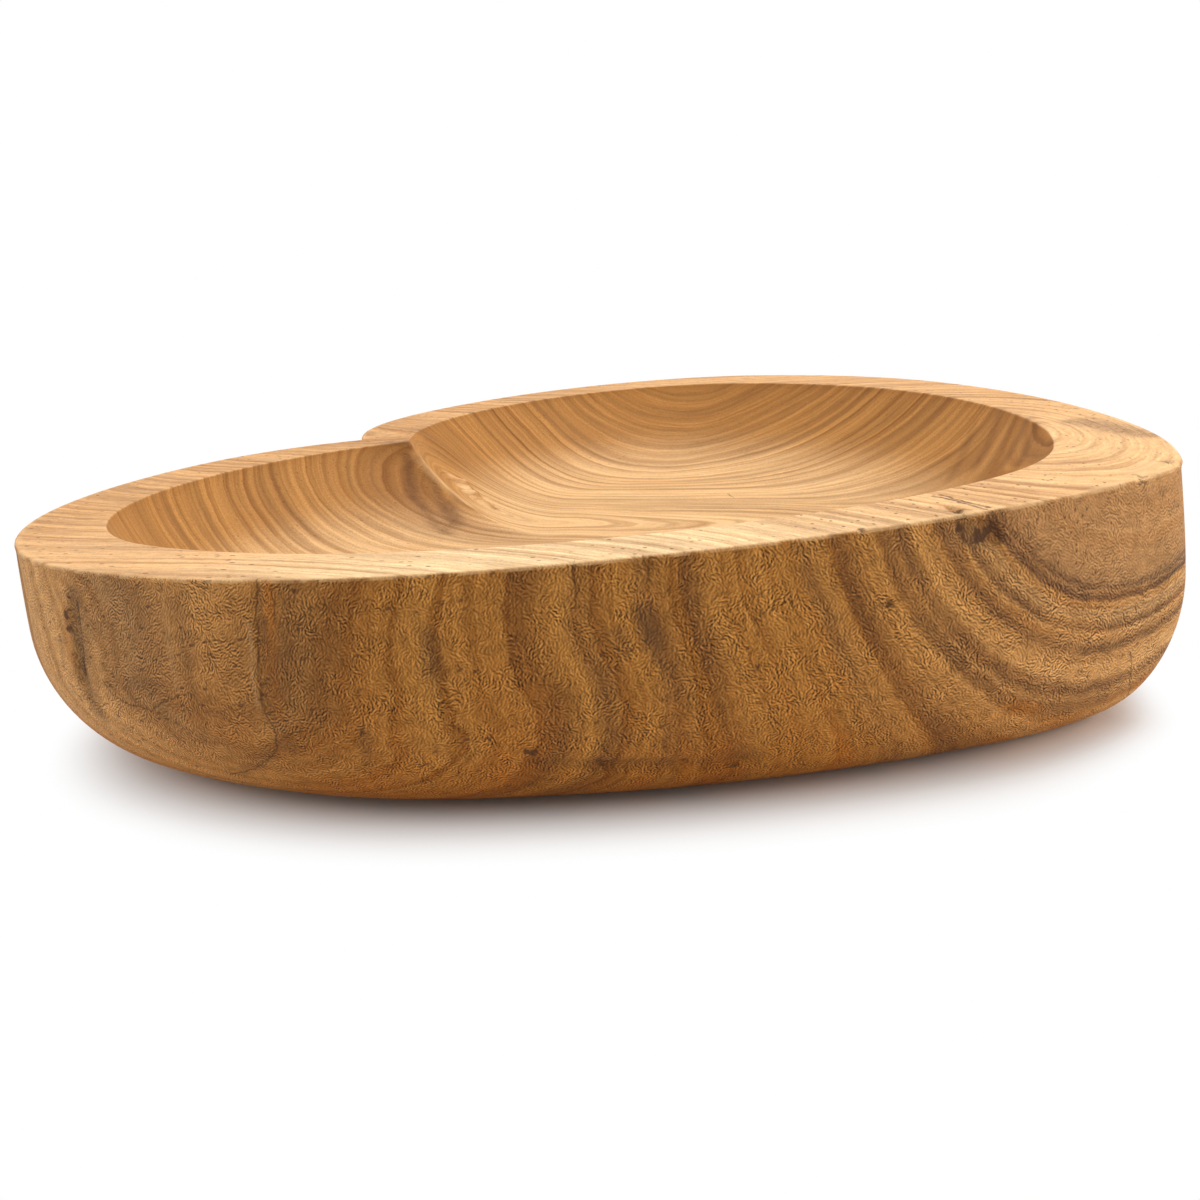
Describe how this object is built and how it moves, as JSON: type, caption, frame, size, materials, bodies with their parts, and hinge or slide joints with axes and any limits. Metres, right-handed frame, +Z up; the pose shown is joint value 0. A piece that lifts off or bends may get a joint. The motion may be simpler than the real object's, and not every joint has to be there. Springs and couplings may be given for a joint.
{
  "type": "heart-shaped wooden bowl",
  "caption": "Heart-shaped bowl carved from one block of wood, with a flat rim, a wall that rolls under to a flat base and a shallow hollow for fruit, keys or sweets.",
  "frame": {"origin": "on the table, under the middle of the bowl's outline", "axes": "+Z up; the heart's axis lies along Y, with its tip towards -Y and its cleft and lobes towards +Y"},
  "size_m": [0.2578, 0.2525, 0.052],
  "materials": {
    "wood": "sanded bare wood with a dull oil finish, open grain and dark growth rings"
  },
  "bodies": {
    "root": {"bowl": "wood"}
  },
  "joints": []
}
